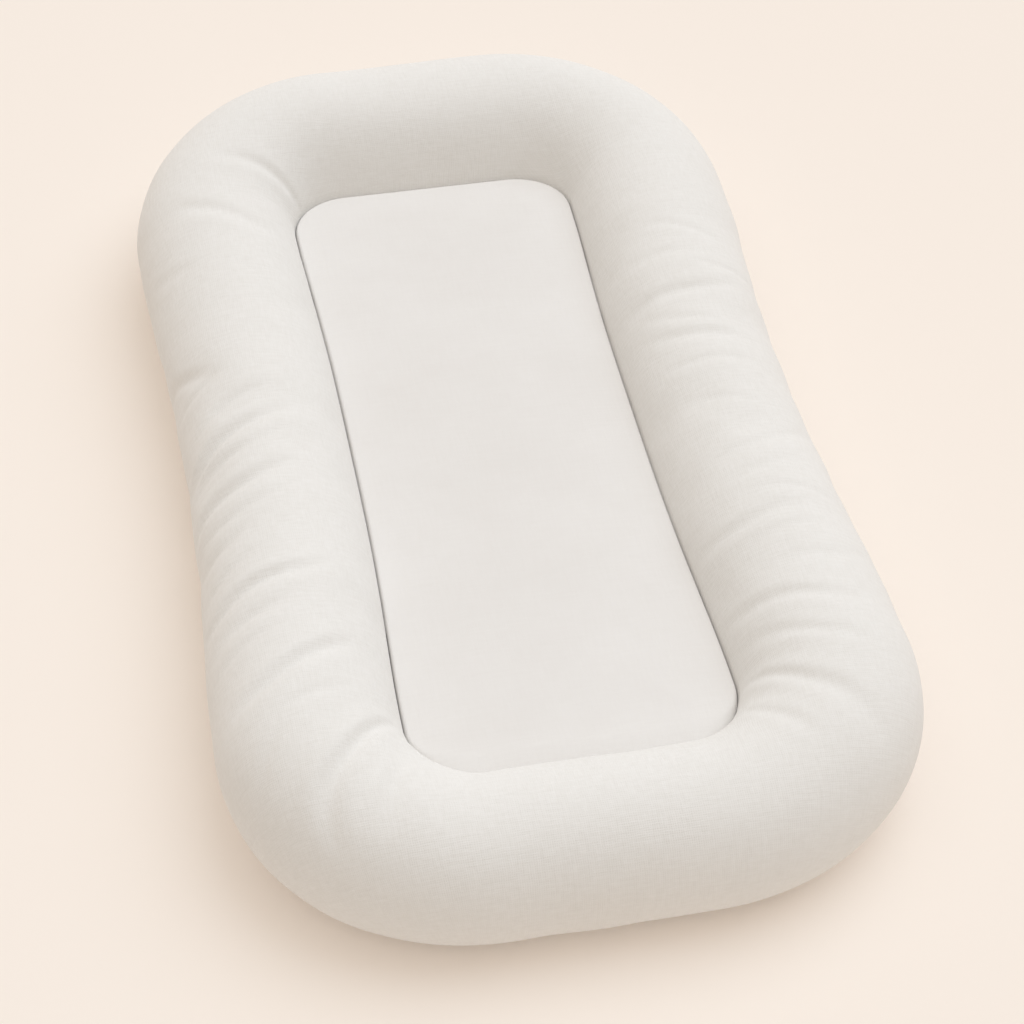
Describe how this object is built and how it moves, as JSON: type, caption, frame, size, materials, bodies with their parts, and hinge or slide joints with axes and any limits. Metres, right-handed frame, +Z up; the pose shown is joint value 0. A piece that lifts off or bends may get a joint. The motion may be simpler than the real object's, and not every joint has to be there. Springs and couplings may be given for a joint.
{
  "type": "infant lounger",
  "caption": "Infant lounger: a waisted ring bolster sewn round a low, flat pad, in a woven cloth cover with a zip along its underside.",
  "frame": {"origin": "on the floor under the middle of the lounger's overall box", "axes": "+Y along the lounger to its head end, +X to its left-hand side seen from the head, +Z up from the floor"},
  "size_m": [0.4568, 0.812, 0.1178],
  "materials": {
    "woven_cloth": "matte",
    "pad_cloth": "matte",
    "base_cloth": "matte",
    "lining_cloth": "matte",
    "fibre_fill": "matte",
    "foam": "matte",
    "zip_tape": "matte",
    "zip_metal": "satin"
  },
  "bodies": {
    "lounger": {"bolster_cover": "woven_cloth", "centre_panel": "pad_cloth", "base_panel": "base_cloth", "bolster_lining": "lining_cloth", "bolster_fill": "fibre_fill", "mattress_foam": "foam", "zip_tape_left": "zip_tape", "zip_tape_right": "zip_tape", "zip_top_stop_left": "zip_metal", "zip_top_stop_right": "zip_metal", "zip_bottom_stop": "zip_metal"},
    "slider": {"zip_slider": "zip_metal"},
    "pull": {"zip_pull": "zip_metal"}
  },
  "joints": [
    {"name": "zip_slide", "type": "slide", "parent": "lounger", "child": "slider", "axis": [0, 1, 0], "range_m": [0, 0.352], "deforming": ["zip_tape_left", "zip_tape_right"]},
    {"name": "pull_swing", "type": "hinge", "parent": "slider", "child": "pull", "pos_m": [0, -0.18759, 0.0053], "axis": [1, 0, 0], "range_deg": [0, 158.1]}
  ]
}
